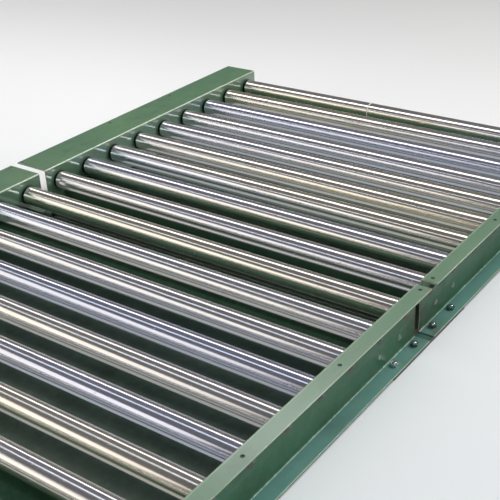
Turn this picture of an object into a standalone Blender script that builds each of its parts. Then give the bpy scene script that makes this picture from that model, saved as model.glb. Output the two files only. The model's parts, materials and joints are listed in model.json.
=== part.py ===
"""Gravity roller conveyor bed: two bolted sections, nine free rollers in each.

Metres, +Z up. X runs along the rollers, Y runs along the bed, and the origin is
under the middle of the whole bed, at the underside of the splice plates.
"""
import math

import bmesh
import bpy

for leftover in list(bpy.data.objects):
    bpy.data.objects.remove(leftover, do_unlink=True)

MM = 0.001

# Bed layout
PITCH = 111.0 * MM              # roller centre to roller centre
ROLLERS_PER_SECTION = 9
END_MARGIN = 49.0 * MM          # last roller centre to the end of its section
BUTT_GAP = 21.5 * MM            # open gap between the two sections
SECTION_LENGTH = (ROLLERS_PER_SECTION - 1) * PITCH + 2.0 * END_MARGIN
BETWEEN_WEBS = 1136.0 * MM      # clear width between the two side channels

# Side channels, folded sheet, flanges turned away from the rollers
SHEET = 3.0 * MM
CHANNEL_DEPTH = 133.0 * MM
NARROW_FLANGE = 40.0 * MM
WIDE_FLANGE = 112.0 * MM
GUARD_HOLE_RADIUS = 4.5 * MM
NARROW_HOLE_INSET = 20.0 * MM   # hole centre to the flange's outer edge
WIDE_HOLE_INSET = 16.0 * MM
NARROW_HOLES = (18.0, 340.0, 646.0, 968.0)   # mm from the joint end
WIDE_HOLES = (14.0, 338.0, 622.0, 974.0)     # mm from the free end

# Splice plates under the bottom flanges
PLATE_THICK = 8.0 * MM
PLATE_LENGTH = 330.0 * MM
PLATE_WIDTH = 38.0 * MM
SEAT_GAP = 0.3 * MM             # every pair of pieces is kept apart by this
BOLT_OFFSETS = (-132.0 * MM, -44.0 * MM, 44.0 * MM, 132.0 * MM)
BOLT_INSET = 19.0 * MM          # bolt centre from the channel's inner face

# Rollers and axles
TUBE_RADIUS = 25.0 * MM
TUBE_WALL = 1.5 * MM
END_CAP_THICK = 12.0 * MM
TUBE_END_GAP = 2.0 * MM         # tube end to web
AXLE_DROP = 43.5 * MM           # axle centre below the top of the channel
AXLE_FLATS = 11.0 * MM
AXLE_HOLE_FLATS = 11.8 * MM
AXLE_STICK_OUT = 8.0 * MM       # past the outer face of each web
CAP_BORE_RADIUS = 7.2 * MM
TUBE_SIDES = 24

# Cross braces between the webs
BRACE_WIDTH = 110.0 * MM
BRACE_HEIGHT = 36.0 * MM
BRACE_FROM_END = 117.0 * MM     # brace centre to the end of its section
BRACE_HOLE_SPACING = 86.0 * MM
BRACE_HOLE_DROP = 93.0 * MM     # below the top of the channel
BRACE_HOLE_RADIUS = 4.5 * MM

# Pans that close the bed below, one to a section
PAN_SHEET = 1.5 * MM
PAN_EDGE = 14.0 * MM            # height of the edges turned up against the webs
PAN_END_CLEARANCE = 2.0 * MM    # pan end to section end
PAN_LIFT = 3.3 * MM             # above the underside of the channels

# Plate bolts and nuts
BOLT_RADIUS = 5.0 * MM
BOLT_HOLE_RADIUS = 5.6 * MM
BOLT_HEAD_RADIUS = 9.2 * MM
BOLT_HEAD_POCKET = 10.0 * MM
BOLT_HEAD_THICK = 4.0 * MM
NUT_FLATS = 17.0 * MM
NUT_THICK = 8.0 * MM
NUT_BORE_RADIUS = 5.6 * MM

# Derived
X_SHIFT = (WIDE_FLANGE - NARROW_FLANGE) / 2.0
WEB_LEFT = X_SHIFT - BETWEEN_WEBS / 2.0
WEB_RIGHT = X_SHIFT + BETWEEN_WEBS / 2.0
CHANNEL_BOTTOM = PLATE_THICK + SEAT_GAP
CHANNEL_TOP = CHANNEL_BOTTOM + CHANNEL_DEPTH
AXLE_HEIGHT = CHANNEL_TOP - AXLE_DROP
SECTION_START = {"near": -BUTT_GAP / 2.0 - SECTION_LENGTH, "far": BUTT_GAP / 2.0}


def material(name, colour, metallic, roughness):
    mat = bpy.data.materials.new(name)
    mat.use_nodes = True
    shader = mat.node_tree.nodes["Principled BSDF"]
    shader.inputs["Base Color"].default_value = (*colour, 1.0)
    shader.inputs["Metallic"].default_value = metallic
    shader.inputs["Roughness"].default_value = roughness
    mat.diffuse_color = (*colour, 1.0)
    return mat


GREEN = material("green_enamel", (0.13, 0.27, 0.15), 0.0, 0.35)
PLATED = material("plated_steel", (0.62, 0.62, 0.64), 1.0, 0.22)
BARE = material("axle_steel", (0.20, 0.20, 0.21), 1.0, 0.45)
ZINC = material("zinc_fastener", (0.66, 0.66, 0.63), 1.0, 0.35)


def add_object(name, bm, mat):
    bmesh.ops.remove_doubles(bm, verts=bm.verts, dist=1e-6)
    bmesh.ops.recalc_face_normals(bm, faces=bm.faces)
    mesh = bpy.data.meshes.new(name)
    bm.to_mesh(mesh)
    bm.free()
    obj = bpy.data.objects.new(name, mesh)
    bpy.context.scene.collection.objects.link(obj)
    if mat is not None:
        mesh.materials.append(mat)
    return obj


def set_origin(obj, point):
    for vert in obj.data.vertices:
        vert.co.x -= point[0]
        vert.co.y -= point[1]
        vert.co.z -= point[2]
    obj.location = point


def add_box(bm, low, high):
    corners = []
    for x in (low[0], high[0]):
        for y in (low[1], high[1]):
            for z in (low[2], high[2]):
                corners.append(bm.verts.new((x, y, z)))
    for quad in ((0, 1, 3, 2), (4, 6, 7, 5), (0, 4, 5, 1), (2, 3, 7, 6), (0, 2, 6, 4), (1, 5, 7, 3)):
        bm.faces.new([corners[i] for i in quad])


def ring_points(axis, centre, radius, sides, turn):
    points = []
    for i in range(sides):
        angle = turn + 2.0 * math.pi * i / sides
        a = radius * math.cos(angle)
        b = radius * math.sin(angle)
        if axis == "X":
            points.append((centre[0], centre[1] + a, centre[2] + b))
        else:
            points.append((centre[0] + a, centre[1] + b, centre[2]))
    return points


def add_prism(bm, axis, centre, start, end, radius, sides, turn=0.0):
    """A closed prism along X or Z between two coordinates on that axis."""
    index = 0 if axis == "X" else 2
    rings = []
    for value in (start, end):
        middle = list(centre)
        middle[index] = value
        rings.append([bm.verts.new(p) for p in ring_points(axis, middle, radius, sides, turn)])
    for i in range(sides):
        j = (i + 1) % sides
        bm.faces.new((rings[0][i], rings[0][j], rings[1][j], rings[1][i]))
    bm.faces.new(list(reversed(rings[0])))
    bm.faces.new(rings[1])


def add_turned(bm, axis, centre, profile, sides, turn=0.0):
    """A closed ring-shaped solid from a loop of (position on axis, radius)."""
    index = 0 if axis == "X" else 2
    rings = []
    for value, radius in profile:
        middle = list(centre)
        middle[index] = value
        rings.append([bm.verts.new(p) for p in ring_points(axis, middle, radius, sides, turn)])
    for k in range(len(rings)):
        m = (k + 1) % len(rings)
        for i in range(sides):
            j = (i + 1) % sides
            bm.faces.new((rings[k][i], rings[k][j], rings[m][j], rings[m][i]))


def extrude_outline(bm, outline, y0, y1):
    """A closed bar along Y from an outline of (x, z) points."""
    ends = []
    for y in (y0, y1):
        ends.append([bm.verts.new((x, y, z)) for x, z in outline])
    for i in range(len(outline)):
        j = (i + 1) % len(outline)
        bm.faces.new((ends[0][i], ends[0][j], ends[1][j], ends[1][i]))
    for end in ends:
        bm.faces.new(end)


def cut(obj, cutter_bm):
    """Take the cutter's prisms out of the object and keep the plain result."""
    cutter = add_object("cutter", cutter_bm, None)
    cutter.hide_render = True
    cutter.display_type = "WIRE"
    mod = obj.modifiers.new("holes", "BOOLEAN")
    mod.operation = "DIFFERENCE"
    mod.solver = "EXACT"
    mod.object = cutter
    graph = bpy.context.evaluated_depsgraph_get()
    result = bpy.data.meshes.new_from_object(obj.evaluated_get(graph))
    obj.modifiers.clear()
    old = obj.data
    obj.data = result
    bpy.data.meshes.remove(old)
    bpy.data.objects.remove(cutter, do_unlink=True)


def hex_radius(flats):
    return flats / 2.0 / math.cos(math.pi / 6.0)


def roller_positions(section):
    start = SECTION_START[section]
    return [start + END_MARGIN + i * PITCH for i in range(ROLLERS_PER_SECTION)]


def side_channel(name, section, side):
    """C-shaped folded channel, open to the outside of the bed."""
    out = -1.0 if side == "left" else 1.0
    inner = WEB_LEFT if side == "left" else WEB_RIGHT
    flange = WIDE_FLANGE if side == "left" else NARROW_FLANGE
    y0 = SECTION_START[section]
    y1 = y0 + SECTION_LENGTH
    outline = (
        (0.0, CHANNEL_BOTTOM),
        (flange, CHANNEL_BOTTOM),
        (flange, CHANNEL_BOTTOM + SHEET),
        (SHEET, CHANNEL_BOTTOM + SHEET),
        (SHEET, CHANNEL_TOP - SHEET),
        (flange, CHANNEL_TOP - SHEET),
        (flange, CHANNEL_TOP),
        (0.0, CHANNEL_TOP),
    )
    bm = bmesh.new()
    extrude_outline(bm, [(inner + out * u, z) for u, z in outline], y0, y1)
    obj = add_object(name, bm, GREEN)

    holes = bmesh.new()
    web_low = min(inner, inner + out * SHEET) - 2.0 * MM
    web_high = max(inner, inner + out * SHEET) + 2.0 * MM
    for y in roller_positions(section):
        add_prism(holes, "X", (0.0, y, AXLE_HEIGHT), web_low, web_high,
                  hex_radius(AXLE_HOLE_FLATS), 6)
    for brace_y in brace_positions(section):
        for offset in (-BRACE_HOLE_SPACING / 2.0, BRACE_HOLE_SPACING / 2.0):
            add_prism(holes, "X", (0.0, brace_y + offset, CHANNEL_TOP - BRACE_HOLE_DROP),
                      web_low, web_high, BRACE_HOLE_RADIUS, 10)
    if side == "left":
        guard_x = inner + out * (flange - WIDE_HOLE_INSET)
        distances = WIDE_HOLES
        from_far = section == "far"
    else:
        guard_x = inner + out * (flange - NARROW_HOLE_INSET)
        distances = NARROW_HOLES
        from_far = section == "near"
    for distance in distances:
        y = y1 - distance * MM if from_far else y0 + distance * MM
        add_prism(holes, "Z", (guard_x, y, 0.0), CHANNEL_TOP - SHEET - 2.0 * MM,
                  CHANNEL_TOP + 2.0 * MM, GUARD_HOLE_RADIUS, 10)
    for offset in BOLT_OFFSETS:
        if (offset < 0.0) == (section == "near"):
            add_prism(holes, "Z", (inner + out * BOLT_INSET, offset, 0.0),
                      CHANNEL_BOTTOM - 2.0 * MM, CHANNEL_BOTTOM + SHEET + 2.0 * MM,
                      BOLT_HOLE_RADIUS, 12)
    cut(obj, holes)
    set_origin(obj, (inner, y0, CHANNEL_BOTTOM))
    return obj


def brace_positions(section):
    start = SECTION_START[section]
    return (start + BRACE_FROM_END, start + SECTION_LENGTH - BRACE_FROM_END)


def cross_brace(name, y):
    """Folded pan, open below, that ties the two webs together under the rollers."""
    top = CHANNEL_TOP - BRACE_HOLE_DROP + BRACE_HEIGHT / 2.0
    low = top - BRACE_HEIGHT
    x0 = WEB_LEFT + SEAT_GAP
    x1 = WEB_RIGHT - SEAT_GAP
    half = BRACE_WIDTH / 2.0
    bm = bmesh.new()
    add_box(bm, (x0, y - half, low), (x1, y + half, top))
    obj = add_object(name, bm, GREEN)
    inside = bmesh.new()
    add_box(inside, (x0 + SHEET, y - half + SHEET, low - 1.0 * MM),
            (x1 - SHEET, y + half - SHEET, top - SHEET))
    cut(obj, inside)
    holes = bmesh.new()
    for offset in (-BRACE_HOLE_SPACING / 2.0, BRACE_HOLE_SPACING / 2.0):
        for start, end in ((x0 - 2.0 * MM, x0 + SHEET + 2.0 * MM),
                           (x1 - SHEET - 2.0 * MM, x1 + 2.0 * MM)):
            add_prism(holes, "X", (0.0, y + offset, CHANNEL_TOP - BRACE_HOLE_DROP),
                      start, end, BRACE_HOLE_RADIUS, 10)
    cut(obj, holes)
    set_origin(obj, (X_SHIFT, y, top))
    return obj


def under_pan(name, section):
    """Shallow sheet pan between the webs, below the braces."""
    x0 = WEB_LEFT + SEAT_GAP
    x1 = WEB_RIGHT - SEAT_GAP
    y0 = SECTION_START[section] + PAN_END_CLEARANCE
    y1 = SECTION_START[section] + SECTION_LENGTH - PAN_END_CLEARANCE
    low = CHANNEL_BOTTOM + PAN_LIFT
    floor = low + PAN_SHEET
    rim = low + PAN_EDGE
    outline = (
        (x0, low),
        (x1, low),
        (x1, rim),
        (x1 - PAN_SHEET, rim),
        (x1 - PAN_SHEET, floor),
        (x0 + PAN_SHEET, floor),
        (x0 + PAN_SHEET, rim),
        (x0, rim),
    )
    bm = bmesh.new()
    extrude_outline(bm, outline, y0, y1)
    obj = add_object(name, bm, GREEN)
    set_origin(obj, (X_SHIFT, y0, low))
    return obj


def roller(name, y):
    """Tube with its pressed-in end caps, bored for a loose fit on the axle."""
    x0 = WEB_LEFT + TUBE_END_GAP
    x1 = WEB_RIGHT - TUBE_END_GAP
    inside = TUBE_RADIUS - TUBE_WALL
    profile = (
        (x0, TUBE_RADIUS),
        (x1, TUBE_RADIUS),
        (x1, CAP_BORE_RADIUS),
        (x1 - END_CAP_THICK, CAP_BORE_RADIUS),
        (x1 - END_CAP_THICK, inside),
        (x0 + END_CAP_THICK, inside),
        (x0 + END_CAP_THICK, CAP_BORE_RADIUS),
        (x0, CAP_BORE_RADIUS),
    )
    bm = bmesh.new()
    add_turned(bm, "X", (0.0, y, AXLE_HEIGHT), profile, TUBE_SIDES)
    obj = add_object(name, bm, PLATED)
    obj.data.shade_smooth()
    obj.data.set_sharp_from_angle(angle=math.radians(40.0))
    set_origin(obj, (X_SHIFT, y, AXLE_HEIGHT))
    return obj


def axle(name, y):
    x0 = WEB_LEFT - SHEET - AXLE_STICK_OUT
    x1 = WEB_RIGHT + SHEET + AXLE_STICK_OUT
    bm = bmesh.new()
    add_prism(bm, "X", (0.0, y, AXLE_HEIGHT), x0, x1, hex_radius(AXLE_FLATS), 6)
    obj = add_object(name, bm, BARE)
    set_origin(obj, (X_SHIFT, y, AXLE_HEIGHT))
    return obj


def bolt_x(side):
    if side == "left":
        return WEB_LEFT - BOLT_INSET
    return WEB_RIGHT + BOLT_INSET


def splice_plate(name, side):
    """Flat bar under both bottom flanges, with pockets for the bolt heads."""
    middle = bolt_x(side)
    bm = bmesh.new()
    add_box(bm, (middle - PLATE_WIDTH / 2.0, -PLATE_LENGTH / 2.0, 0.0),
            (middle + PLATE_WIDTH / 2.0, PLATE_LENGTH / 2.0, PLATE_THICK))
    obj = add_object(name, bm, GREEN)
    shanks = bmesh.new()
    pockets = bmesh.new()
    for offset in BOLT_OFFSETS:
        add_prism(shanks, "Z", (middle, offset, 0.0), -1.0 * MM, PLATE_THICK + 1.0 * MM,
                  BOLT_HOLE_RADIUS, 12)
        add_prism(pockets, "Z", (middle, offset, 0.0), -1.0 * MM,
                  BOLT_HEAD_THICK + 2.0 * SEAT_GAP, BOLT_HEAD_POCKET, 16)
    cut(obj, shanks)
    cut(obj, pockets)
    set_origin(obj, (middle, 0.0, 0.0))
    return obj


def plate_bolt(name, side, y):
    """Flat-headed bolt, head in the plate's pocket, thread end above the nut."""
    middle = bolt_x(side)
    head_top = SEAT_GAP + BOLT_HEAD_THICK
    end = CHANNEL_BOTTOM + SHEET + SEAT_GAP + NUT_THICK + 5.0 * MM
    bm = bmesh.new()
    lower = [bm.verts.new(p) for p in ring_points("Z", (middle, y, SEAT_GAP), BOLT_HEAD_RADIUS, 12, 0.0)]
    upper = [bm.verts.new(p) for p in ring_points("Z", (middle, y, head_top), BOLT_HEAD_RADIUS, 12, 0.0)]
    neck = [bm.verts.new(p) for p in ring_points("Z", (middle, y, head_top), BOLT_RADIUS, 12, 0.0)]
    tip = [bm.verts.new(p) for p in ring_points("Z", (middle, y, end), BOLT_RADIUS, 12, 0.0)]
    for low, high in ((lower, upper), (upper, neck), (neck, tip)):
        for i in range(12):
            j = (i + 1) % 12
            bm.faces.new((low[i], low[j], high[j], high[i]))
    bm.faces.new(lower)
    bm.faces.new(tip)
    obj = add_object(name, bm, ZINC)
    obj.data.shade_smooth()
    obj.data.set_sharp_from_angle(angle=math.radians(40.0))
    set_origin(obj, (middle, y, SEAT_GAP))
    return obj


def plate_nut(name, side, y):
    middle = bolt_x(side)
    low = CHANNEL_BOTTOM + SHEET + SEAT_GAP
    high = low + NUT_THICK
    bm = bmesh.new()
    add_prism(bm, "Z", (middle, y, 0.0), low, high, hex_radius(NUT_FLATS), 6, math.pi / 6.0)
    obj = add_object(name, bm, ZINC)
    bore = bmesh.new()
    add_prism(bore, "Z", (middle, y, 0.0), low - 1.0 * MM, high + 1.0 * MM, NUT_BORE_RADIUS, 12)
    cut(obj, bore)
    set_origin(obj, (middle, y, low))
    return obj


for section_name in ("near", "far"):
    for side_name in ("left", "right"):
        side_channel("side_channel_%s_%s" % (side_name, section_name), section_name, side_name)

brace_number = 0
roller_number = 0
for section_name in ("near", "far"):
    under_pan("under_pan_%s" % section_name, section_name)
    for brace_centre in brace_positions(section_name):
        brace_number += 1
        cross_brace("cross_brace_%d" % brace_number, brace_centre)
    for roller_centre in roller_positions(section_name):
        roller_number += 1
        roller("roller_%02d" % roller_number, roller_centre)
        axle("axle_%02d" % roller_number, roller_centre)

for side_name in ("left", "right"):
    splice_plate("splice_plate_%s" % side_name, side_name)
    for bolt_number, bolt_offset in enumerate(BOLT_OFFSETS, start=1):
        plate_bolt("plate_bolt_%s_%d" % (side_name, bolt_number), side_name, bolt_offset)

for nut_number, nut_offset in enumerate(BOLT_OFFSETS, start=1):
    plate_nut("plate_nut_right_%d" % nut_number, "right", nut_offset)
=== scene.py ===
"""Looks of the gravity roller conveyor bed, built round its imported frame.

Metres, +Z up, the frame's own axes: X runs along the rollers and Y along the bed.
Every place is worked out from the frame's boxes; only the sizes of details are set here.
"""
import json
import math

import bmesh
import bpy
from mathutils import Matrix, Vector

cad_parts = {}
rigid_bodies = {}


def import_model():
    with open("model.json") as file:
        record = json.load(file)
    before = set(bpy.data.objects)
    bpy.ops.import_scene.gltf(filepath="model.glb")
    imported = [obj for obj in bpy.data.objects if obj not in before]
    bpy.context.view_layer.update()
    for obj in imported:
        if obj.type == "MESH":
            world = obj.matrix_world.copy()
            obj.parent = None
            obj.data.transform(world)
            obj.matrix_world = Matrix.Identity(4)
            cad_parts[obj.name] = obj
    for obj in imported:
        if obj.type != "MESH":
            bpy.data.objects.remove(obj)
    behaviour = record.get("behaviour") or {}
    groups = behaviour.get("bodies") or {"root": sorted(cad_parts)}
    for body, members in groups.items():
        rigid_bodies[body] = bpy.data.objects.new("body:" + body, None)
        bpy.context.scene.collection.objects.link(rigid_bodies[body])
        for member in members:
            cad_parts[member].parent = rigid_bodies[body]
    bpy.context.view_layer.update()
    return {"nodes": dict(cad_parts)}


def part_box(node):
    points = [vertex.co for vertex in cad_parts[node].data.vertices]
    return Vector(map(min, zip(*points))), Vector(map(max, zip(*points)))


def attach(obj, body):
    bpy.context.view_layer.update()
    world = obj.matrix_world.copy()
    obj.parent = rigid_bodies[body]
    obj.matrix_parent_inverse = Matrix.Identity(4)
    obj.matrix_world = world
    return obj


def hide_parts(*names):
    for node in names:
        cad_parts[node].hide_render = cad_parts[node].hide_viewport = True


for leftover in list(bpy.data.objects):
    bpy.data.objects.remove(leftover, do_unlink=True)

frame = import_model()
bpy.context.scene.view_settings.view_transform = "Standard"

MM = 0.001
FRAME_BODY = "bed_frame"
ROLLER_COUNT = 18

# Sheet and holes, as the side channels are made
SHEET = 3.0 * MM
BEND_RADIUS = 4.5 * MM
EDGE_ROUND = 1.2 * MM
AXLE_HOLE_FLATS = 11.8 * MM
WEB_HOLE_RADIUS = 4.5 * MM
GUARD_HOLE_RADIUS = 4.5 * MM
PLATE_HOLE_RADIUS = 5.6 * MM
GUARD_INSET = {"left": 16.0 * MM, "right": 20.0 * MM}
GUARD_DISTANCES = {"left": (14.0, 338.0, 622.0, 974.0), "right": (18.0, 340.0, 646.0, 968.0)}
WEB_BOLT_SPACING = 86.0 * MM
CUT_PAST = 3.0 * MM          # a cutter reaches this far past both faces of the sheet

# Paint
STAIN_DROP = 10.0 * MM       # the middle of a rust smudge, below its axle
SECTION_END = 15.0 * MM      # |Y| of the ends that meet at the joint, where rust has crept in
FINE_RELIEF = 0.1 * MM       # height of grain and scratches

# Rollers
CAP_BAND = 7.0 * MM          # black ring that shows past the tube
CAP_LIP = 0.9 * MM           # the ring stands this far proud of the tube
CAP_DEPTH = 14.0 * MM        # how far a cap reaches into the roller
TUBE_WALL = 1.5 * MM
TUBE_LEAD = 0.6 * MM         # chamfer at the tube's ends
RACE_RADIUS = 15.5 * MM      # where the bearing sits in its cap
RACE_BORE = 9.4 * MM
RACE_DEPTH = 9.0 * MM
AXLE_CHAMFER = 1.2 * MM
AXLE_DIMPLE = 2.2 * MM       # centre mark in the axle's ends
AXLE_TIP = 0.2 * MM
TAPE_OFFSET = 86.0 * MM      # from the middle of the roller towards -X
TAPE_WIDTH = 4.0 * MM
TAPE_STANDS = 0.15 * MM
SUNK = 0.1 * MM              # a piece seated in another starts this far below its face
ROUND_SIDES = 96
BEARING_SIDES = 48

# Braces
BRACE_COUNT = 4
BRACE_OUTER = 3.5 * MM
BRACE_INNER = 1.0 * MM
BRACE_CLEAR = 0.2 * MM       # between a brace and its end tabs

# Fasteners
PLATE_BOLT_COUNT = 4
BOLT_RADIUS = 5.0 * MM
THREAD_PITCH = 1.5 * MM
THREAD_DEPTH = 0.45 * MM
NUT_FLATS = 16.0 * MM
NUT_THICK = 5.4 * MM
WASHER_RADIUS = 8.1 * MM
WASHER_THICK = 1.4 * MM
STUD_STANDS = 2.0 * MM       # thread above the nut
BRIGHT_NUT = ("right", 1)    # the others have been painted over
NUT_TURNS = (17.0, 41.0, 5.0, 28.0)
NUT_SIDES = 72
NUT_CHAMFER = 0.7 * MM
NUT_LEAD = 0.6 * MM
BOLT_HEAD = 4.0 * MM
PLAIN_SHANK = 6.0 * MM
THREAD_STEPS = 8             # rings to one turn of thread
FASTENER_SIDES = 48
SEAT_CLEAR = 0.05 * MM
WASHER_ROUND = 0.3 * MM
# Web bolt, as (distance out from the web, radius), from the rim of the head to its crown
WEB_BOLT_HEAD = ((0.05, 6.8), (0.7, 6.8), (1.8, 5.9), (2.7, 4.2), (3.2, 2.1), (3.3, 0.3))
WEB_BOLT_RADIUS = 4.0 * MM
WEB_BOLT_INSIDE = 12.0 * MM  # the shank's length on the inner side of the web

# Floor, lights and surroundings
FLOOR_REACH = 40.0
# name, place, target, width, height, level, colour
SOFT_BOXES = (
    ("far_strip", (-1.2, 0.76, 1.5), (-1.2, 0.76, 0.0), 5.0, 0.34, 3.9, (1.0, 0.985, 0.99)),
    ("near_strip", (-1.2, -0.75, 1.5), (-1.2, -0.75, 0.0), 5.0, 0.16, 2.0, (0.80, 0.86, 1.0)),
    ("left_box", (-1.9, -1.9, 1.0), (0.0, 0.0, 0.1), 2.8, 1.1, 1.20, (1.0, 0.965, 0.90)),
    ("edge_box", (1.5, 2.6, 2.3), (0.2, 0.0, 0.1), 3.2, 0.22, 9.0, (1.0, 0.98, 0.88)),
    ("right_fill", (3.4, -0.2, 3.2), (0.6, 0.0, 0.1), 1.6, 1.2, 2.4, (0.42, 0.82, 1.0)),
    ("front_box", (1.80, -2.35, 0.92), (-0.53, 0.2, 0.1), 0.6, 0.8, 10.0, (0.86, 0.93, 1.0)),
)
# Soft light returned from below, one strip under each gap between rollers
BOUNCE_SHIFT = 55.0 * MM     # from a roller's axle to the gap in front of it
BOUNCE_WIDTH = 66.0 * MM
BOUNCE_RISE = 2.0 * MM       # above the pan
BOUNCE_SHORT = 0.04          # less than the pan's width
BOUNCE_LEVEL = 0.40
BOUNCE_COLOUR = (1.0, 0.99, 1.0)
SUN_STRENGTH = 1.7
SUN_ANGLE = 20.0
SUN_HEADING = (-0.25, -0.64, -0.72)
DIM_STRENGTH = 0.10

# Camera, at the photograph's viewing angle
CAMERA_PLACE = (1.4087, -1.6493, 1.1985)
CAMERA_HEADING = 37.36
CAMERA_DOWN = 28.25
CAMERA_ROLL = -2.92
CAMERA_SENSOR = 36.0
CAMERA_LENS = 71.1
CAMERA_SHIFT = (0.0097, 0.0048)


def rgb(red, green, blue):
    return (red, green, blue, 1.0)


# What lies over the paint, what shows through it, and the painted highlights and shade
MOTTLE = rgb(0.135, 0.240, 0.125)
GRIME = rgb(0.050, 0.060, 0.035)
SCUFF = rgb(0.13, 0.085, 0.06)
RUST_WASH = rgb(0.10, 0.055, 0.045)
# Pale green for highlights painted along bends and lips
PAINTED_HIGHLIGHT = rgb(0.48, 0.66, 0.48)
PLATE_SHADE = rgb(0.008, 0.016, 0.012)
SMUDGE = rgb(0.150, 0.085, 0.105)
FLECK = rgb(0.020, 0.018, 0.020)
WORN = rgb(0.22, 0.18, 0.13)
DIM_SURROUNDINGS = rgb(1.0, 0.94, 0.98)
PALE_BACKDROP = rgb(0.80, 0.80, 0.80)


# ---------------------------------------------------------------- node helpers

class Graph:
    """Short calls for building one material's node tree."""

    def __init__(self, name):
        self.mat = bpy.data.materials.new(name)
        self.mat.use_nodes = True
        self.tree = self.mat.node_tree
        self.shader = self.tree.nodes["Principled BSDF"]
        self.place = self.add("ShaderNodeTexCoord").outputs["Object"]

    def add(self, kind, **settings):
        node = self.tree.nodes.new(kind)
        for key, value in settings.items():
            setattr(node, key, value)
        return node

    def link(self, source, target):
        self.tree.links.new(source, target)

    def put(self, socket, value):
        if isinstance(value, bpy.types.NodeSocket):
            self.link(value, socket)
        else:
            socket.default_value = value

    def stretch(self, scale, offset=(0.0, 0.0, 0.0)):
        """The object's own coordinates, scaled for a grain that runs one way."""
        node = self.add("ShaderNodeMapping")
        node.inputs["Scale"].default_value = scale
        node.inputs["Location"].default_value = offset
        self.link(self.place, node.inputs["Vector"])
        return node.outputs["Vector"]

    def noise(self, vector, scale, detail, rough):
        node = self.add("ShaderNodeTexNoise")
        self.link(vector, node.inputs["Vector"])
        node.inputs["Scale"].default_value = scale
        node.inputs["Detail"].default_value = detail
        node.inputs["Roughness"].default_value = rough
        return node.outputs["Fac"]

    def cells(self, vector, scale):
        node = self.add("ShaderNodeTexVoronoi")
        self.link(vector, node.inputs["Vector"])
        node.inputs["Scale"].default_value = scale
        return node.outputs["Distance"]

    def ramp(self, value, low, high, from_value=0.0, to_value=1.0):
        """Value between low and high, mapped to from_value and to_value and held there."""
        node = self.add("ShaderNodeMapRange")
        node.clamp = True
        self.link(value, node.inputs["Value"])
        node.inputs["From Min"].default_value = low
        node.inputs["From Max"].default_value = high
        node.inputs["To Min"].default_value = from_value
        node.inputs["To Max"].default_value = to_value
        return node.outputs["Result"]

    def maths(self, operation, a, b=0.0):
        node = self.add("ShaderNodeMath", operation=operation)
        self.put(node.inputs[0], a)
        self.put(node.inputs[1], b)
        return node.outputs["Value"]

    def mix(self, amount, a, b):
        node = self.add("ShaderNodeMix", data_type="RGBA")
        self.put(node.inputs["Factor"], amount)
        self.put(node.inputs[6], a)
        self.put(node.inputs[7], b)
        return node.outputs[2]

    def bump(self, height, strength, distance, below=None):
        node = self.add("ShaderNodeBump")
        node.inputs["Strength"].default_value = strength
        node.inputs["Distance"].default_value = distance
        self.link(height, node.inputs["Height"])
        if below is not None:
            self.link(below, node.inputs["Normal"])
        return node.outputs["Normal"]

    def worn_edge(self, radius, low, high):
        """1 where the surface turns sharply, from the angle to a rounded normal."""
        bevel = self.add("ShaderNodeBevel", samples=4)
        bevel.inputs["Radius"].default_value = radius
        geometry = self.add("ShaderNodeNewGeometry")
        dot = self.add("ShaderNodeVectorMath", operation="DOT_PRODUCT")
        self.link(bevel.outputs["Normal"], dot.inputs[0])
        self.link(geometry.outputs["Normal"], dot.inputs[1])
        return self.ramp(dot.outputs["Value"], high, low)

    def finish(self, **sockets):
        for name, value in sockets.items():
            self.put(self.shader.inputs[name.replace("_", " ")], value)
        return self.mat


def axle_centre(number):
    low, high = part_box("axle_%02d" % number)
    return (low + high) / 2.0


# ---------------------------------------------------------------- materials

def axle_stain(g, xyz):
    """1 in the rusty smudge that has run down the web from each axle hole."""
    first = axle_centre(ROLLER_COUNT // 2 + 1)
    pitch = axle_centre(ROLLER_COUNT // 2 + 2).y - first.y
    along = g.maths("SUBTRACT", g.maths("ABSOLUTE", xyz.outputs["Y"]), first.y - pitch / 2.0)
    along = g.maths("SUBTRACT", g.maths("MODULO", along, pitch), pitch / 2.0)
    down = g.maths("SUBTRACT", xyz.outputs["Z"], first.z - STAIN_DROP)
    squares = g.maths("ADD", g.maths("MULTIPLY", along, along), g.maths("MULTIPLY", down, down))
    distance = g.maths("SQRT", squares)
    rough_edge = g.ramp(g.noise(g.place, 150.0, 4.0, 0.7), 0.3, 0.7, -4.0 * MM, 4.0 * MM)
    return g.ramp(g.maths("ADD", distance, rough_edge), 12.0 * MM, 6.0 * MM)


def painted_highlight_strip(g, xyz, axis, middle, half, amount):
    """Up to amount in a narrow, slightly ragged pale strip: a highlight painted along a bend or lip."""
    away = g.maths("ABSOLUTE", g.maths("SUBTRACT", xyz.outputs[axis], middle))
    rough_edge = g.ramp(g.noise(g.place, 90.0, 3.0, 0.6), 0.3, 0.7, -0.5 * MM, 0.7 * MM)
    soft = 0.5 * MM
    return g.ramp(g.maths("ADD", away, rough_edge), half + soft, half - soft, 0.0, amount)


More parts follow.
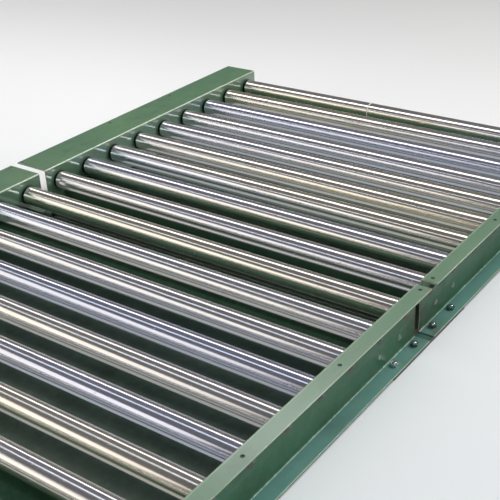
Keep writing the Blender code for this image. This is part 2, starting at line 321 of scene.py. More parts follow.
def green_enamel(name, low, high, dirt, coat=0.45, specular=0.30, coat_rough=0.08, coat_ior=1.5,
                 rust_strip=0.0, highlight_strips=(), dark_past=None):
    """Glossy machine paint: two greens in soft clouds, grime, scuffs, axle stains and worn edges.

    rust_strip is how rusty the ends at the joint are, highlight_strips lists (axis, middle, half width,
    amount) for pale strips of painted highlight, and dark_past is an X beyond which shade is painted in.
    """
    g = Graph(name)
    cloud = g.noise(g.stretch((1.0, 0.7, 1.0)), 5.0, 5.0, 0.6)
    mottle = g.noise(g.place, 55.0, 3.0, 0.6)
    grime = g.noise(g.stretch((1.0, 0.5, 1.0), (3.1, 0.4, 0.0)), 11.0, 6.0, 0.7)
    base = g.mix(g.ramp(cloud, 0.35, 0.65), low, high)
    base = g.mix(g.ramp(mottle, 0.45, 0.75, 0.0, 0.25), base, MOTTLE)
    base = g.mix(g.ramp(grime, 0.52, 0.78, 0.0, dirt), base, GRIME)
    xyz = g.add("ShaderNodeSeparateXYZ")
    g.link(g.place, xyz.inputs["Vector"])
    near_joint = g.ramp(g.maths("ABSOLUTE", xyz.outputs["Y"]), 75.0 * MM, 12.0 * MM)
    scuffs = g.ramp(g.noise(g.place, 48.0, 4.0, 0.65), 0.46, 0.66)
    base = g.mix(g.maths("MULTIPLY", g.maths("MULTIPLY", near_joint, scuffs), 0.55), base, SCUFF)
    from_joint = g.maths("ABSOLUTE", xyz.outputs["Y"])
    rust_end = g.ramp(from_joint, SECTION_END + 2.5 * MM, SECTION_END, 0.0, rust_strip)
    base = g.mix(rust_end, base, RUST_WASH)
    # Pale strips painted along bends and lips as highlights
    for axis, middle, half, amount in highlight_strips:
        base = g.mix(painted_highlight_strip(g, xyz, axis, middle, half, amount), base, PAINTED_HIGHLIGHT)
    if dark_past is not None:
        past = g.ramp(xyz.outputs["X"], dark_past - 0.6 * MM, dark_past - 0.2 * MM)
        base = g.mix(past, base, PLATE_SHADE)
    stain = axle_stain(g, xyz)
    base = g.mix(g.maths("MULTIPLY", stain, 0.95), base, SMUDGE)
    flecks = g.ramp(g.noise(g.place, 330.0, 3.0, 0.6), 0.50, 0.60)
    base = g.mix(g.maths("MULTIPLY", g.maths("MULTIPLY", stain, flecks), 0.85), base, FLECK)
    chips = g.ramp(g.noise(g.place, 260.0, 3.0, 0.6), 0.58, 0.64)
    edge = g.worn_edge(1.2 * MM, 0.80, 0.97)
    wear = g.maths("MULTIPLY", g.maths("MULTIPLY", edge, chips), 0.5)
    base = g.mix(wear, base, WORN)
    gloss = g.ramp(g.noise(g.place, 22.0, 4.0, 0.6), 0.3, 0.7, 0.38, 0.48)
    gloss = g.maths("ADD", gloss, g.ramp(grime, 0.52, 0.78, 0.0, 0.15))
    peel = g.bump(g.noise(g.place, 380.0, 2.0, 0.5), 0.06, 0.2 * MM)
    ripple = g.bump(g.noise(g.place, 7.0, 2.0, 0.5), 0.06, 2.0 * MM, peel)
    return g.finish(Base_Color=base, Roughness=gloss, Metallic=0.0, Normal=ripple,
                    Coat_Weight=coat, Coat_Roughness=coat_rough, Coat_IOR=coat_ior,
                    Specular_IOR_Level=specular)


def plated_tube():
    """Plated steel drawn along X: streaks, hair lines, two tints, stains and specks of rust."""
    g = Graph("plated_tube")
    along = g.stretch((0.55, 60.0, 60.0))
    fine = g.stretch((1.5, 420.0, 420.0), (0.3, 0.0, 0.0))
    streak = g.noise(along, 1.0, 3.0, 0.6)
    hair = g.noise(fine, 1.0, 2.0, 0.6)
    tint = g.noise(g.stretch((0.5, 5.5, 5.5), (0.0, 2.7, 1.3)), 1.0, 1.0, 0.5)
    base = g.mix(g.ramp(tint, 0.38, 0.62), rgb(0.75, 0.78, 0.92), rgb(0.94, 0.89, 0.76))
    base = g.mix(g.ramp(streak, 0.42, 0.70, 0.0, 0.36), base, rgb(0.50, 0.48, 0.46))
    base = g.mix(g.ramp(hair, 0.55, 0.80, 0.0, 0.22), base, rgb(0.95, 0.95, 0.97))
    stain = g.noise(g.stretch((5.0, 18.0, 18.0), (1.7, 0.6, 0.2)), 1.0, 5.0, 0.7)
    base = g.mix(g.ramp(stain, 0.60, 0.78, 0.0, 0.45), base, rgb(0.50, 0.42, 0.30))
    speck = g.cells(g.stretch((1.0, 1.6, 1.6)), 55.0)
    patch = g.ramp(g.noise(g.place, 6.0, 3.0, 0.6), 0.54, 0.64)
    rust = g.maths("MULTIPLY", g.ramp(speck, 0.13, 0.06), patch)
    base = g.mix(rust, base, rgb(0.15, 0.065, 0.025))
    dulled = g.noise(g.stretch((2.0, 520.0, 520.0), (0.9, 0.2, 0.5)), 1.0, 3.0, 0.7)
    gloss = g.ramp(streak, 0.3, 0.8, 0.13, 0.22)
    gloss = g.maths("ADD", gloss, g.ramp(dulled, 0.48, 0.68, 0.0, 0.07))
    gloss = g.maths("ADD", gloss, g.ramp(stain, 0.58, 0.78, 0.0, 0.14))
    gloss = g.maths("ADD", gloss, g.maths("MULTIPLY", rust, 0.4))
    drawn = g.bump(hair, 0.025, FINE_RELIEF)
    wave = g.bump(g.noise(g.stretch((1.2, 16.0, 16.0)), 1.0, 1.0, 0.5), 0.18, 1.0 * MM, drawn)
    metal = g.ramp(rust, 0.0, 1.0, 0.92, 0.2)
    return g.finish(Base_Color=base, Roughness=gloss, Metallic=metal, Normal=wave)


def black_cap():
    g = Graph("black_cap")
    fine = g.noise(g.place, 700.0, 2.0, 0.5)
    dust = g.noise(g.place, 35.0, 5.0, 0.7)
    base = g.mix(g.ramp(dust, 0.50, 0.80, 0.0, 0.5), rgb(0.004, 0.004, 0.005), rgb(0.014, 0.014, 0.013))
    gloss = g.ramp(dust, 0.3, 0.8, 0.50, 0.68)
    return g.finish(Base_Color=base, Roughness=gloss, Specular_IOR_Level=0.25,
                    Normal=g.bump(fine, 0.2, FINE_RELIEF))


def axle_steel():
    g = Graph("axle_steel")
    drawn = g.noise(g.stretch((3.0, 300.0, 300.0)), 1.0, 3.0, 0.6)
    dull = g.noise(g.place, 45.0, 5.0, 0.7)
    base = g.mix(g.ramp(drawn, 0.3, 0.7), rgb(0.13, 0.125, 0.12), rgb(0.24, 0.235, 0.23))
    base = g.mix(g.ramp(dull, 0.52, 0.72, 0.0, 0.8), base, rgb(0.10, 0.055, 0.03))
    gloss = g.ramp(dull, 0.3, 0.75, 0.34, 0.62)
    return g.finish(Base_Color=base, Roughness=gloss, Metallic=0.85,
                    Normal=g.bump(drawn, 0.25, FINE_RELIEF))


def zinc_plate():
    g = Graph("zinc_plate")
    cloud = g.noise(g.place, 130.0, 4.0, 0.6)
    blotch = g.noise(g.place, 420.0, 3.0, 0.6)
    base = g.mix(g.ramp(cloud, 0.35, 0.65), rgb(0.62, 0.69, 0.82), rgb(0.78, 0.78, 0.76))
    base = g.mix(g.ramp(blotch, 0.56, 0.76, 0.0, 0.6), base, rgb(0.36, 0.34, 0.31))
    gloss = g.ramp(cloud, 0.3, 0.7, 0.12, 0.26)
    return g.finish(Base_Color=base, Roughness=gloss, Metallic=1.0, Normal=g.bump(blotch, 0.15, FINE_RELIEF))


def bearing_steel():
    g = Graph("bearing_steel")
    ring = g.noise(g.stretch((300.0, 20.0, 20.0)), 1.0, 2.0, 0.5)
    grease = g.noise(g.place, 90.0, 4.0, 0.6)
    base = g.mix(g.ramp(grease, 0.45, 0.70), rgb(0.55, 0.55, 0.56), rgb(0.20, 0.17, 0.12))
    gloss = g.ramp(grease, 0.3, 0.7, 0.18, 0.42)
    return g.finish(Base_Color=base, Roughness=gloss, Metallic=1.0, Normal=g.bump(ring, 0.1, FINE_RELIEF))


def dull_bolt():
    g = Graph("dull_bolt")
    worn = g.noise(g.place, 300.0, 4.0, 0.6)
    base = g.mix(g.ramp(worn, 0.42, 0.60), rgb(0.36, 0.33, 0.33), rgb(0.13, 0.20, 0.16))
    gloss = g.ramp(worn, 0.3, 0.7, 0.35, 0.55)
    return g.finish(Base_Color=base, Roughness=gloss, Metallic=0.4, Normal=g.bump(worn, 0.2, FINE_RELIEF))


def pale_tape():
    g = Graph("pale_tape")
    scuff = g.noise(g.place, 500.0, 4.0, 0.7)
    base = g.mix(g.ramp(scuff, 0.45, 0.70), rgb(0.86, 0.84, 0.76), rgb(0.60, 0.56, 0.46))
    return g.finish(Base_Color=base, Roughness=g.ramp(scuff, 0.3, 0.7, 0.4, 0.6),
                    Normal=g.bump(scuff, 0.1, FINE_RELIEF))


def pale_floor():
    g = Graph("pale_floor")
    soft = g.noise(g.place, 0.8, 2.0, 0.5)
    base = g.mix(g.ramp(soft, 0.3, 0.7), rgb(0.88, 0.88, 0.88), rgb(0.91, 0.91, 0.905))
    return g.finish(Base_Color=base, Roughness=0.85)


RAIL_LOW, RAIL_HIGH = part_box("side_channel_right_near")
RIGHT_BEND = RAIL_LOW.x + BEND_RADIUS
RIGHT_LIP = RAIL_HIGH.x
RAIL_FOLD_Z = RAIL_LOW.z + BEND_RADIUS
GREEN = green_enamel("green_enamel", rgb(0.086, 0.182, 0.106), rgb(0.124, 0.234, 0.128), 0.50)
# Top flange paint of the right channel, with highlights painted along its bend and lip
SAGE = green_enamel(
    "sage_enamel_painted_highlights", rgb(0.084, 0.196, 0.102), rgb(0.116, 0.250, 0.132), 0.45,
    coat=1.0, specular=0.5, coat_rough=0.32, coat_ior=2.2,
    highlight_strips=(("X", RIGHT_BEND, 1.8 * MM, 0.30), ("X", RIGHT_LIP, 1.6 * MM, 0.75)))
# Outer web faces: greens darkened as painted shade, real rust at the joint ends, and a highlight painted
# along the fold
WEB_SHADED_PAINT = green_enamel(
    "web_enamel_painted_shade", rgb(0.038, 0.122, 0.066), rgb(0.058, 0.160, 0.088), 0.60,
    coat=0.15, specular=0.15, rust_strip=0.85, highlight_strips=(("Z", RAIL_FOLD_Z, 0.5 * MM, 0.85),))
# Low flange: the bluish cast of the fill light painted into its greens, and highlights painted along its
# bend and lip
LOW_FLANGE_BLUE_LIT = green_enamel(
    "low_flange_painted_blue_light", rgb(0.092, 0.226, 0.194), rgb(0.130, 0.282, 0.244), 0.45, specular=0.25,
    highlight_strips=(("X", RIGHT_BEND, 0.8 * MM, 0.85), ("X", RIGHT_LIP, 2.2 * MM, 0.32)))
INNER = green_enamel(
    "inner_enamel", rgb(0.088, 0.170, 0.110), rgb(0.122, 0.220, 0.136), 0.45,
    coat=1.0, specular=0.5, coat_rough=0.03, coat_ior=1.8)
# Pale cream on the bends, the sheet ends and the right lip's top: a painted highlight
EDGE_PAINTED_HIGHLIGHT = green_enamel(
    "edge_painted_highlight", rgb(0.230, 0.330, 0.200), rgb(0.360, 0.430, 0.280), 0.35,
    coat=0.8, specular=0.5, coat_rough=0.12)
# Near-black on the sides of the lips: painted shade
SHADE = green_enamel(
    "lip_painted_shade", rgb(0.010, 0.020, 0.014), rgb(0.018, 0.034, 0.022), 0.50, coat=0.1, specular=0.15)
# Under-pan: dark greens that are painted shade beneath the rollers, with grime clouds over them
PAN_GREEN = green_enamel(
    "pan_grime_and_painted_shade", rgb(0.052, 0.082, 0.064), rgb(0.080, 0.112, 0.092), 0.5, coat=0.0, specular=0.2)
BRACE_GREEN = green_enamel(
    "dull_enamel", rgb(0.022, 0.078, 0.042), rgb(0.036, 0.105, 0.056), 0.4, coat=0.0, specular=0.2)
# Splice plate paint; its outer side is darkened as painted shade
PLATE_GREEN = green_enamel(
    "plate_enamel_painted_shade", rgb(0.030, 0.105, 0.095), rgb(0.045, 0.135, 0.115), 0.5,
    dark_past=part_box("splice_plate_right")[1].x)
# Dark paint on the painted-over nuts and washers, also used as painted shade on the right guard holes' walls
BOLT_PAINT_AND_HOLE_SHADE = green_enamel("painted_bolt_and_hole_shade", rgb(0.018, 0.060, 0.050), rgb(0.035, 0.095, 0.080), 0.7)
TUBE = plated_tube()
CAP = black_cap()
AXLE = axle_steel()
ZINC = zinc_plate()
BEARING = bearing_steel()
DULL = dull_bolt()
TAPE = pale_tape()


# ---------------------------------------------------------------- mesh helpers

def new_piece(name, bm, mat, smooth_angle=35.0):
    bmesh.ops.remove_doubles(bm, verts=bm.verts, dist=1e-7)
    bmesh.ops.recalc_face_normals(bm, faces=bm.faces)
    mesh = bpy.data.meshes.new(name)
    bm.to_mesh(mesh)
    bm.free()
    mesh.shade_smooth()
    mesh.set_sharp_from_angle(angle=math.radians(smooth_angle))
    obj = bpy.data.objects.new(name, mesh)
    bpy.context.scene.collection.objects.link(obj)
    if mat is not None:
        mesh.materials.append(mat)
    return obj


def settle(obj):
    """Apply the object's modifiers to its mesh."""
    graph = bpy.context.evaluated_depsgraph_get()
    mesh = bpy.data.meshes.new_from_object(obj.evaluated_get(graph))
    obj.modifiers.clear()
    old = obj.data
    obj.data = mesh
    bpy.data.meshes.remove(old)


def round_edges(obj, width, segments=2, angle=50.0):
    mod = obj.modifiers.new("edges", "BEVEL")
    mod.width = width
    mod.segments = segments
    mod.limit_method = "ANGLE"
    mod.angle_limit = math.radians(angle)


def even_shading(obj):
    """Large flat faces keep their own normal beside a bend or a rounded edge."""
    mod = obj.modifiers.new("shading", "WEIGHTED_NORMAL")
    mod.mode = "FACE_AREA"
    mod.keep_sharp = True


def cut(obj, cutter_bm):
    cutter = new_piece("cutter", cutter_bm, None)
    mod = obj.modifiers.new("holes", "BOOLEAN")
    mod.operation = "DIFFERENCE"
    mod.solver = "EXACT"
    mod.object = cutter
    settle(obj)
    bpy.data.objects.remove(cutter, do_unlink=True)


def circle(axis, centre, radius, sides, turn=0.0):
    points = []
    for i in range(sides):
        angle = turn + 2.0 * math.pi * i / sides
        a = radius * math.cos(angle)
        b = radius * math.sin(angle)
        if axis == "X":
            points.append(Vector((centre[0], centre[1] + a, centre[2] + b)))
        else:
            points.append(Vector((centre[0] + a, centre[1] + b, centre[2])))
    return points


def skin(bm, rings, closed):
    """Faces between neighbouring rings of points. A closed set joins its last ring to its first,
    and an open one is capped at both ends."""
    sides = len(rings[0])
    steps = len(rings) if closed else len(rings) - 1
    for k in range(steps):
        m = (k + 1) % len(rings)
        for i in range(sides):
            j = (i + 1) % sides
            bm.faces.new((rings[k][i], rings[k][j], rings[m][j], rings[m][i]))
    if not closed:
        bm.faces.new(rings[0])
        bm.faces.new(rings[-1])


def turned(bm, axis, centre, profile, sides, closed=True):
    """Rings along an axis from (position, radius) points. A closed profile makes a ring-shaped
    solid, and an open one a solid bar."""
    index = 0 if axis == "X" else 2
    rings = []
    for value, radius in profile:
        middle = list(centre)
        middle[index] = value
        rings.append([bm.verts.new(p) for p in circle(axis, middle, radius, sides)])
    skin(bm, rings, closed)


def arc(centre, radius, start, end, steps):
    """Points on an arc in a plane, from start to end degrees."""
    points = []
    for i in range(steps + 1):
        angle = math.radians(start + (end - start) * i / steps)
        points.append((centre[0] + radius * math.cos(angle), centre[1] + radius * math.sin(angle)))
    return points


def hex_radius(flats):
    return flats / 2.0 / math.cos(math.pi / 6.0)


def extruded(bm, axis, outline, start, end):
    """A solid bar along X or Y. The outline's points are (y, z) along X and (x, z) along Y."""
    rings = []
    for along in (start, end):
        if axis == "X":
            rings.append([bm.verts.new((along, y, z)) for y, z in outline])
        else:
            rings.append([bm.verts.new((x, along, z)) for x, z in outline])
    skin(bm, rings, closed=False)


# ---------------------------------------------------------------- places from the frame

def section_rollers(section):
    half = ROLLER_COUNT // 2
    return range(1, half + 1) if section == "near" else range(half + 1, ROLLER_COUNT + 1)


def section_braces(section):
    return (1, 2) if section == "near" else (3, 4)


def web_bolt_places(brace):
    """Centre line of each of a brace's two web bolts, as (y, z)."""
    low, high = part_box("cross_brace_%d" % brace)
    y = (low.y + high.y) / 2.0
    z = (low.z + high.z) / 2.0
    return [(y - WEB_BOLT_SPACING / 2.0, z), (y + WEB_BOLT_SPACING / 2.0, z)]


def web_side(side):
    """(x of the web's face towards the rollers, direction from there to the outside)."""
    low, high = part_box("side_channel_%s_near" % side)
    return (high.x, -1.0) if side == "left" else (low.x, 1.0)


# ---------------------------------------------------------------- side channels

def channel_outline(inner, out, flange, bottom, top):
    """C section with rounded bends: (x, z) points round the sheet."""
    outer = BEND_RADIUS
    inside = BEND_RADIUS - SHEET
    steps = 6
    points = [(flange, bottom), (flange, bottom + SHEET)]
    points += arc((outer, bottom + outer), inside, 270.0, 180.0, steps)
    points += arc((outer, top - outer), inside, 180.0, 90.0, steps)
    points += [(flange, top - SHEET), (flange, top)]
    points += arc((outer, top - outer), outer, 90.0, 180.0, steps)
    points += arc((outer, bottom + outer), outer, 180.0, 270.0, steps)
    return [(inner + out * u, z) for u, z in points]


def paint_faces(rail, side, low, high):
    """One paint, coloured face by face on a channel: glossy on top, darker on the web as painted shade,
    bluish on the low flange as painted fill light, painted highlights along the bends, the sheet ends
    and the right lip's top, and painted shade on the rest of the lips and in the right guard holes."""
    top_paint = SAGE if side == "right" else GREEN
    for mat in (top_paint, WEB_SHADED_PAINT, LOW_FLANGE_BLUE_LIT, EDGE_PAINTED_HIGHLIGHT, BEARING, BOLT_PAINT_AND_HOLE_SHADE, INNER, SHADE):
        rail.data.materials.append(mat)
    top, web, bottom, edge, bare, hole_shade, inside_web, shade = range(1, 9)
    out = web_side(side)[1]
    lip = high.x if side == "right" else low.x
    for face in rail.data.polygons:
        n = face.normal
        c = face.center
        upper = c.z > high.z - BEND_RADIUS
        # End faces of the sheet: painted highlight
        if abs(n.y) > 0.9 and min(c.y - low.y, high.y - c.y) < MM:
            face.material_index = edge
        # Lips: painted highlight on the right lip's top rounding, painted shade on the rest
        elif abs(c.x - lip) < EDGE_ROUND:
            face.material_index = edge if n.z > 0.3 and side == "right" else shade
        elif n.z > 0.97 and upper:
            face.material_index = top
        # Low flange: painted bluish light
        elif n.z > 0.7 and not upper:
            face.material_index = bottom
        # Inward face of the top bend: painted highlight
        elif upper and n.z > 0.2 and abs(n.x) > 0.2 and n.x * out < 0.0:
            face.material_index = edge
        # Outer web: painted shade
        elif n.x * out > 0.7:
            face.material_index = web
        elif n.x * out < -0.7:
            face.material_index = inside_web
    # The left holes' walls show bare metal; the right ones take dark paint as painted shade
    holes = bare if side == "left" else hole_shade
    guard_x = lip - out * GUARD_INSET[side]
    for face in rail.data.polygons:
        c = face.center
        inside = abs(c.x - guard_x) < GUARD_HOLE_RADIUS and c.z > high.z - SHEET
        if inside and abs(face.normal.z) < 0.5 and low.y + MM < c.y < high.y - MM:
            face.material_index = holes


def make_channel(side, section):
    node = "side_channel_%s_%s" % (side, section)
    low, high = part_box(node)
    inner, out = web_side(side)
    bm = bmesh.new()
    outline = channel_outline(inner, out, high.x - low.x, low.z, high.z)
    extruded(bm, "Y", outline, low.y, high.y)
    rail = new_piece("rail_%s_%s" % (side, section), bm, GREEN)
    round_edges(rail, EDGE_ROUND)
    settle(rail)

    holes = bmesh.new()
    web = sorted((inner - out * CUT_PAST, inner + out * (SHEET + CUT_PAST)))
    for number in section_rollers(section):
        centre = axle_centre(number)
        ends = [(x, hex_radius(AXLE_HOLE_FLATS)) for x in web]
        turned(holes, "X", centre, ends, 6, closed=False)
    for brace in section_braces(section):
        for y, z in web_bolt_places(brace):
            ends = [(x, WEB_HOLE_RADIUS) for x in web]
            turned(holes, "X", (0.0, y, z), ends, 24, closed=False)
    edge = low.x if side == "left" else high.x
    guard_x = edge - out * GUARD_INSET[side]
    from_far = (side == "left") == (section == "far")
    for distance in GUARD_DISTANCES[side]:
        y = high.y - distance * MM if from_far else low.y + distance * MM
        ends = [(z, GUARD_HOLE_RADIUS) for z in (high.z - SHEET - CUT_PAST, high.z + CUT_PAST)]
        turned(holes, "Z", (guard_x, y, 0.0), ends, 32, closed=False)
    for number in range(1, PLATE_BOLT_COUNT + 1):
        bolt_low, bolt_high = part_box("plate_bolt_%s_%d" % (side, number))
        middle = (bolt_low + bolt_high) / 2.0
        if low.y < middle.y < high.y:
            ends = [(z, PLATE_HOLE_RADIUS) for z in (low.z - CUT_PAST, low.z + SHEET + CUT_PAST)]
            turned(holes, "Z", middle, ends, 24, closed=False)
    cut(rail, holes)
    rail.data.shade_smooth()
    rail.data.set_sharp_from_angle(angle=math.radians(35.0))
    paint_faces(rail, side, low, high)
    even_shading(rail)
    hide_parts(node)
    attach(rail, FRAME_BODY)


# ---------------------------------------------------------------- rollers and axles

def make_roller(number):
    node = "roller_%02d" % number
    body = node + "_body"
    low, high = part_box(node)
    centre = (low + high) / 2.0
    radius = (high.z - low.z) / 2.0
    inside = radius - TUBE_WALL
    x0 = low.x + CAP_BAND
    x1 = high.x - CAP_BAND
    bm = bmesh.new()
    profile = [(x0, radius - TUBE_LEAD), (x0 + TUBE_LEAD, radius), (x1 - TUBE_LEAD, radius),
               (x1, radius - TUBE_LEAD), (x1, inside), (x0, inside)]
    turned(bm, "X", centre, profile, ROUND_SIDES)
    tube = new_piece("tube_%02d" % number, bm, TUBE)
    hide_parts(node)
    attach(tube, body)

    for end, face, inward in (("left", low.x, 1.0), ("right", high.x, -1.0)):
        outer = radius + CAP_LIP
        band = CAP_BAND - SUNK
        steps = [(0.0, RACE_RADIUS), (0.0, outer - 4.0 * MM), (0.6 * MM, outer - 2.4 * MM),
                 (0.6 * MM, outer - 1.2 * MM)]
        shoulder = arc((0.6 * MM, outer - 1.2 * MM), 1.2 * MM, 0.0, 90.0, 5)
        steps += [(1.8 * MM - u, v) for u, v in shoulder]
        steps += [(band - 0.4 * MM, outer), (band, outer - 0.4 * MM), (band, inside - SUNK),
                  (CAP_DEPTH, inside - SUNK), (CAP_DEPTH, RACE_RADIUS)]
        bm = bmesh.new()
        turned(bm, "X", centre, [(face + inward * u, v) for u, v in steps], ROUND_SIDES)
        cap = new_piece("end_cap_%02d_%s" % (number, end), bm, CAP)
        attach(cap, body)

        race_outer = RACE_RADIUS - 0.2 * MM
        steps = [(1.0 * MM, race_outer), (1.4 * MM, 13.0 * MM), (1.0 * MM, 12.6 * MM),
                 (1.0 * MM, RACE_BORE), (RACE_DEPTH, RACE_BORE), (RACE_DEPTH, race_outer)]
        bm = bmesh.new()
        turned(bm, "X", centre, [(face + inward * u, v) for u, v in steps], BEARING_SIDES)
        bearing = new_piece("bearing_%02d_%s" % (number, end), bm, BEARING)
        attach(bearing, body)


def make_tape(number):
    """A narrow pale band of tape round one tube."""
    low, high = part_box("roller_%02d" % number)
    centre = (low + high) / 2.0
    radius = (high.z - low.z) / 2.0
    start = centre.x - TAPE_OFFSET
    end = start + TAPE_WIDTH
    under = radius - SUNK
    face = radius + TAPE_STANDS
    bm = bmesh.new()
    turned(bm, "X", centre, [(start, under), (start, face), (end, face), (end, under)], ROUND_SIDES)
    tape = new_piece("tape_%02d" % number, bm, TAPE)
    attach(tape, "roller_%02d_body" % number)


def make_axle(number):
    node = "axle_%02d" % number
    low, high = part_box(node)
    centre = (low + high) / 2.0
    radius = hex_radius(high.z - low.z)
    profile = [(low.x + AXLE_DIMPLE, AXLE_TIP), (low.x, AXLE_DIMPLE),
               (low.x, radius - AXLE_CHAMFER), (low.x + AXLE_CHAMFER, radius),
               (high.x - AXLE_CHAMFER, radius), (high.x, radius - AXLE_CHAMFER),
               (high.x, AXLE_DIMPLE), (high.x - AXLE_DIMPLE, AXLE_TIP)]
    bm = bmesh.new()
    turned(bm, "X", centre, profile, 6, closed=False)
    axle = new_piece("hex_axle_%02d" % number, bm, AXLE, 20.0)
    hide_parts(node)
    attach(axle, FRAME_BODY)


# ---------------------------------------------------------------- braces, bolts, nuts

def make_brace(number):
    """A folded cross member, open below, with a tab at each end that its web bolts hold."""
    node = "cross_brace_%d" % number
    low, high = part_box(node)
    wall = BRACE_OUTER - BRACE_INNER
    left_bend = (low.y + BRACE_OUTER, high.z - BRACE_OUTER)
    right_bend = (high.y - BRACE_OUTER, high.z - BRACE_OUTER)
    shape = [(low.y, low.z)]
    shape += arc(left_bend, BRACE_OUTER, 180.0, 90.0, 5)
    shape += arc(right_bend, BRACE_OUTER, 90.0, 0.0, 5)
    shape += [(high.y, low.z), (high.y - wall, low.z)]
    shape += arc(right_bend, BRACE_INNER, 0.0, 90.0, 5)
    shape += arc(left_bend, BRACE_INNER, 90.0, 180.0, 5)
    shape += [(low.y + wall, low.z)]
    bm = bmesh.new()
    extruded(bm, "X", shape, low.x + wall + BRACE_CLEAR, high.x - wall - BRACE_CLEAR)
    pan = new_piece("brace_%d" % number, bm, BRACE_GREEN)
    round_edges(pan, 0.4 * MM)
    even_shading(pan)
    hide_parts(node)
    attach(pan, FRAME_BODY)

    corners = [(low.y, low.z), (high.y, low.z)]
    corners += arc(right_bend, BRACE_OUTER, 0.0, 90.0, 5)
    corners += arc(left_bend, BRACE_OUTER, 90.0, 180.0, 5)
    for side, x0, x1 in (("left", low.x, low.x + wall), ("right", high.x - wall, high.x)):
        bm = bmesh.new()
        extruded(bm, "X", corners, x0, x1)
        tab = new_piece("brace_%d_tab_%s" % (number, side), bm, BRACE_GREEN)
        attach(tab, FRAME_BODY)


def make_web_bolt(name, side, y, z):
    """Round-headed bolt through the web, head outside, painted over with the frame."""
    inner, out = web_side(side)
    face = inner + out * SHEET
    head = [(face + out * (u * MM), v * MM) for u, v in WEB_BOLT_HEAD]
    shank = [(inner - out * WEB_BOLT_INSIDE, WEB_BOLT_RADIUS - 0.5 * MM),
             (inner - out * (WEB_BOLT_INSIDE - MM), WEB_BOLT_RADIUS), (head[0][0], WEB_BOLT_RADIUS)]
    bm = bmesh.new()
    turned(bm, "X", (0.0, y, z), shank + head, 32, closed=False)
    bolt = new_piece(name, bm, DULL)
    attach(bolt, FRAME_BODY)


def hex_nut(name, middle, low, high, bore, turn, mat):
    """Six flats with chamfered corners, made by trimming a prism with a cone at each face."""
    flats = NUT_FLATS / 2.0
    corner = hex_radius(NUT_FLATS)
    bm = bmesh.new()
    rings = []
    levels = [(low, 0.0), (low + NUT_CHAMFER, 1.0), (high - NUT_CHAMFER, 1.0), (high, 0.0)]
    for z, fullness in levels:
        ring = []
        for i in range(NUT_SIDES):
            angle = 2.0 * math.pi * i / NUT_SIDES
            inside = (angle % (math.pi / 3.0)) - math.pi / 6.0
            flat_radius = flats / math.cos(inside)
            trimmed = min(flat_radius, flats * 0.97 + (corner - flats) * fullness * 1.3)
            turned_angle = angle + turn
            ring.append(bm.verts.new((middle[0] + trimmed * math.cos(turned_angle),
                                      middle[1] + trimmed * math.sin(turned_angle), z)))
        rings.append(ring)
    for z, radius in ((high, bore + NUT_LEAD), (high - NUT_LEAD, bore), (low + NUT_LEAD, bore),
                      (low, bore + NUT_LEAD)):
        points = circle("Z", (middle[0], middle[1], z), radius, NUT_SIDES, turn)
        rings.append([bm.verts.new(p) for p in points])
    skin(bm, rings, closed=True)
    nut = new_piece(name, bm, mat, 22.0)
    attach(nut, FRAME_BODY)
    return nut


def threaded_bolt(name, node, mat, tip):
    """Flat head, plain shank and a real thread on the part that stands above the flange."""
    low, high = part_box(node)
    middle = (low + high) / 2.0
    head_radius = (high.x - low.x) / 2.0
    head_top = low.z + BOLT_HEAD
    thread_start = head_top + PLAIN_SHANK
    bm = bmesh.new()
    levels = [(low.z, head_radius - 0.4 * MM, False), (low.z + 0.4 * MM, head_radius, False),
              (head_top, head_radius, False), (head_top, BOLT_RADIUS, False),
              (thread_start, BOLT_RADIUS, False)]
    step = THREAD_PITCH / THREAD_STEPS
    count = int((tip - 0.8 * MM - thread_start) / step)
    for k in range(1, count):
        levels.append((thread_start + k * step, BOLT_RADIUS, True))
    levels += [(tip - 0.5 * MM, BOLT_RADIUS - THREAD_DEPTH, False),
               (tip, BOLT_RADIUS - 1.2 * MM, False)]
    rings = []
    for z, radius, threaded in levels:
        ring = []
        for i in range(FASTENER_SIDES):
            angle = 2.0 * math.pi * i / FASTENER_SIDES
            r = radius
            if threaded:
                phase = (z / THREAD_PITCH - i / FASTENER_SIDES) % 1.0
                r = radius - THREAD_DEPTH * (1.0 - abs(2.0 * phase - 1.0))
            x = middle.x + r * math.cos(angle)
            y = middle.y + r * math.sin(angle)
            ring.append(bm.verts.new((x, y, z)))
        rings.append(ring)
    skin(bm, rings, closed=False)
    bolt = new_piece(name, bm, mat)
    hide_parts(node)
    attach(bolt, FRAME_BODY)


def make_plate_fasteners(side):
    """The bolts up through one splice plate, each with a washer and a nut above the flange."""
    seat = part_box("side_channel_%s_near" % side)[0].z + SHEET + SEAT_CLEAR
    washer_top = seat + WASHER_THICK
    washer_bore = BOLT_RADIUS + 0.4 * MM
    nut_low = washer_top + SEAT_CLEAR
    nut_high = nut_low + NUT_THICK
    for number in range(1, PLATE_BOLT_COUNT + 1):
        mat = ZINC if (side, number) == BRIGHT_NUT else BOLT_PAINT_AND_HOLE_SHADE
        node = "plate_bolt_%s_%d" % (side, number)
        low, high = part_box(node)
        middle = (low + high) / 2.0
        threaded_bolt("joint_bolt_%s_%d" % (side, number), node, ZINC, nut_high + STUD_STANDS)
        bm = bmesh.new()
        washer = [(seat, WASHER_RADIUS), (washer_top - WASHER_ROUND, WASHER_RADIUS),
                  (washer_top, WASHER_RADIUS - WASHER_ROUND), (washer_top, washer_bore),
                  (seat, washer_bore)]
        turned(bm, "Z", middle, washer, FASTENER_SIDES)
        ring = new_piece("washer_%s_%d" % (side, number), bm, mat)
        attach(ring, FRAME_BODY)
        turn = math.radians(NUT_TURNS[number - 1])
        nut = hex_nut("joint_nut_%s_%d" % (side, number), middle, nut_low, nut_high,
                      BOLT_RADIUS + SEAT_CLEAR, turn, mat)
        if side == "right":
            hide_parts("plate_nut_right_%d" % number)


# ---------------------------------------------------------------- build

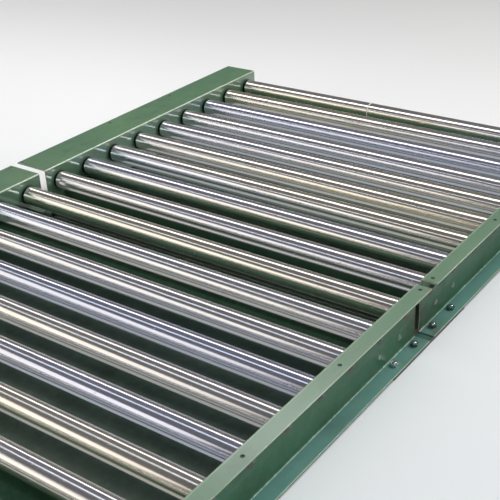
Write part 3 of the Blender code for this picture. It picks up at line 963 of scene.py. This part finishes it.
for side_name in ("left", "right"):
    for section_name in ("near", "far"):
        make_channel(side_name, section_name)
    make_plate_fasteners(side_name)
    plate = frame["nodes"]["splice_plate_%s" % side_name]
    plate.data.materials.clear()
    plate.data.materials.append(PLATE_GREEN)
    round_edges(plate, 0.8 * MM)
    even_shading(plate)

for section_name in ("near", "far"):
    pan = frame["nodes"]["under_pan_%s" % section_name]
    # The under-pans take the dark pan paint: painted shade beneath the rollers
    pan.data.materials.clear()
    pan.data.materials.append(PAN_GREEN)

for brace_number in range(1, BRACE_COUNT + 1):
    make_brace(brace_number)
    for side_name in ("left", "right"):
        for index, (bolt_y, bolt_z) in enumerate(web_bolt_places(brace_number), start=1):
            bolt_name = "web_bolt_%s_%d_%d" % (side_name, brace_number, index)
            make_web_bolt(bolt_name, side_name, bolt_y, bolt_z)

for roller_number in range(1, ROLLER_COUNT + 1):
    make_roller(roller_number)
    make_axle(roller_number)
make_tape(ROLLER_COUNT)


# ---------------------------------------------------------------- stage, light, camera

def make_floor():
    bm = bmesh.new()
    ways = ((-1.0, -1.0), (1.0, -1.0), (1.0, 1.0), (-1.0, 1.0))
    bm.faces.new([bm.verts.new((x * FLOOR_REACH, y * FLOOR_REACH, 0.0)) for x, y in ways])
    floor = new_piece("floor", bm, pale_floor())


def soft_box(name, place, target, width, height, level, colour):
    data = bpy.data.lights.new(name, "AREA")
    data.shape = "RECTANGLE"
    data.size = width
    data.size_y = height
    data.energy = radiance(width, height, level)
    data.color = colour
    light = bpy.data.objects.new(name, data)
    bpy.context.scene.collection.objects.link(light)
    light.location = place
    light.visible_camera = False
    light.rotation_mode = "QUATERNION"
    light.rotation_quaternion = (Vector(target) - Vector(place)).to_track_quat("-Z", "Y")


def radiance(width, height, level):
    """Watts for an area lamp of this size to look this bright."""
    return level * math.pi * width * height


def make_lights():
    for box in SOFT_BOXES:
        soft_box(*box)
    low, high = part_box("under_pan_near")
    above = high.z + BOUNCE_RISE
    length = high.x - low.x - BOUNCE_SHORT
    for number in range(1, ROLLER_COUNT + 1):
        y = axle_centre(number).y - BOUNCE_SHIFT
        soft_box("bounce_%02d" % number, (0.0, y, above), (0.0, y, 1.0), length, BOUNCE_WIDTH,
                 BOUNCE_LEVEL, BOUNCE_COLOUR)
    sun = bpy.data.lights.new("key", "SUN")
    sun.energy = SUN_STRENGTH
    sun.angle = math.radians(SUN_ANGLE)
    lamp = bpy.data.objects.new("key", sun)
    bpy.context.scene.collection.objects.link(lamp)
    lamp.rotation_mode = "QUATERNION"
    lamp.rotation_quaternion = Vector(SUN_HEADING).to_track_quat("-Z", "Y")
    make_world()


def make_world():
    """Dim surroundings for light and reflections, behind a pale studio backdrop."""
    world = bpy.data.worlds.new("studio")
    bpy.context.scene.world = world
    world.use_nodes = True
    tree = world.node_tree
    dim = tree.nodes["Background"]
    dim.inputs["Color"].default_value = DIM_SURROUNDINGS
    dim.inputs["Strength"].default_value = DIM_STRENGTH
    pale = tree.nodes.new("ShaderNodeBackground")
    pale.inputs["Color"].default_value = PALE_BACKDROP
    choose = tree.nodes.new("ShaderNodeMixShader")
    seen = tree.nodes.new("ShaderNodeLightPath").outputs["Is Camera Ray"]
    tree.links.new(seen, choose.inputs["Fac"])
    tree.links.new(dim.outputs["Background"], choose.inputs[1])
    tree.links.new(pale.outputs["Background"], choose.inputs[2])
    tree.links.new(choose.outputs["Shader"], tree.nodes["World Output"].inputs["Surface"])


def make_camera():
    data = bpy.data.cameras.new("camera")
    data.sensor_width = CAMERA_SENSOR
    data.lens = CAMERA_LENS
    data.shift_x, data.shift_y = CAMERA_SHIFT
    camera = bpy.data.objects.new("camera", data)
    bpy.context.scene.collection.objects.link(camera)
    heading = Matrix.Rotation(math.radians(CAMERA_HEADING), 4, "Z")
    tilt = Matrix.Rotation(math.radians(90.0 - CAMERA_DOWN), 4, "X")
    roll = Matrix.Rotation(math.radians(CAMERA_ROLL), 4, "Z")
    camera.matrix_world = Matrix.Translation(CAMERA_PLACE) @ heading @ tilt @ roll
    bpy.context.scene.camera = camera


make_floor()
make_lights()
make_camera()

bpy.context.view_layer.update()
